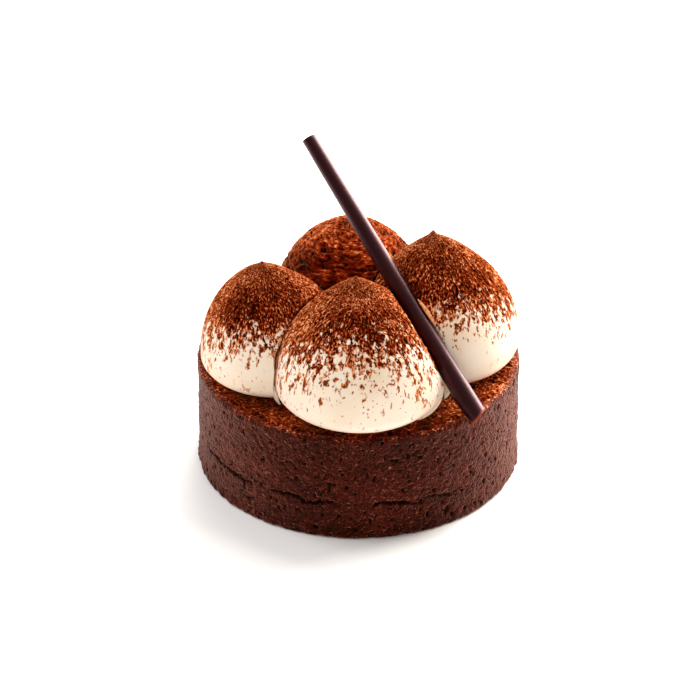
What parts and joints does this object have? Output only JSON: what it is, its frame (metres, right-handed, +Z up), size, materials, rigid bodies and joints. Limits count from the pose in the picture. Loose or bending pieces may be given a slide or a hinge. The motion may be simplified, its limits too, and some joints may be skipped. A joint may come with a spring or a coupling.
{
  "type": "chocolate tart",
  "caption": "Small round chocolate tart in a cocoa shortcrust case, topped with cocoa-dusted piped cream domes and a rolled chocolate stick laid across them.",
  "frame": {"origin": "centre of the crust's flat base, on the surface it stands on", "axes": "+Z up along the crust's axis; -Y is the front, the side of the largest cream dome; +X is to the right seen from the front"},
  "size_m": [0.0826, 0.0833, 0.0838],
  "materials": {
    "crust": "matte baked cocoa shortcrust, fine pores and cracks",
    "filling": "matte cocoa powder over chocolate filling",
    "cream": "satin whipped cream, dusted with cocoa powder on its upper half",
    "chocolate": "semi-gloss dark chocolate"
  },
  "bodies": {
    "root": {"crust": "crust", "filling": "filling", "cream_dome_front": "cream", "cream_dome_left": "cream", "cream_dome_right": "cream", "cream_dome_back": "cream", "chocolate_stick": "chocolate"}
  },
  "joints": []
}
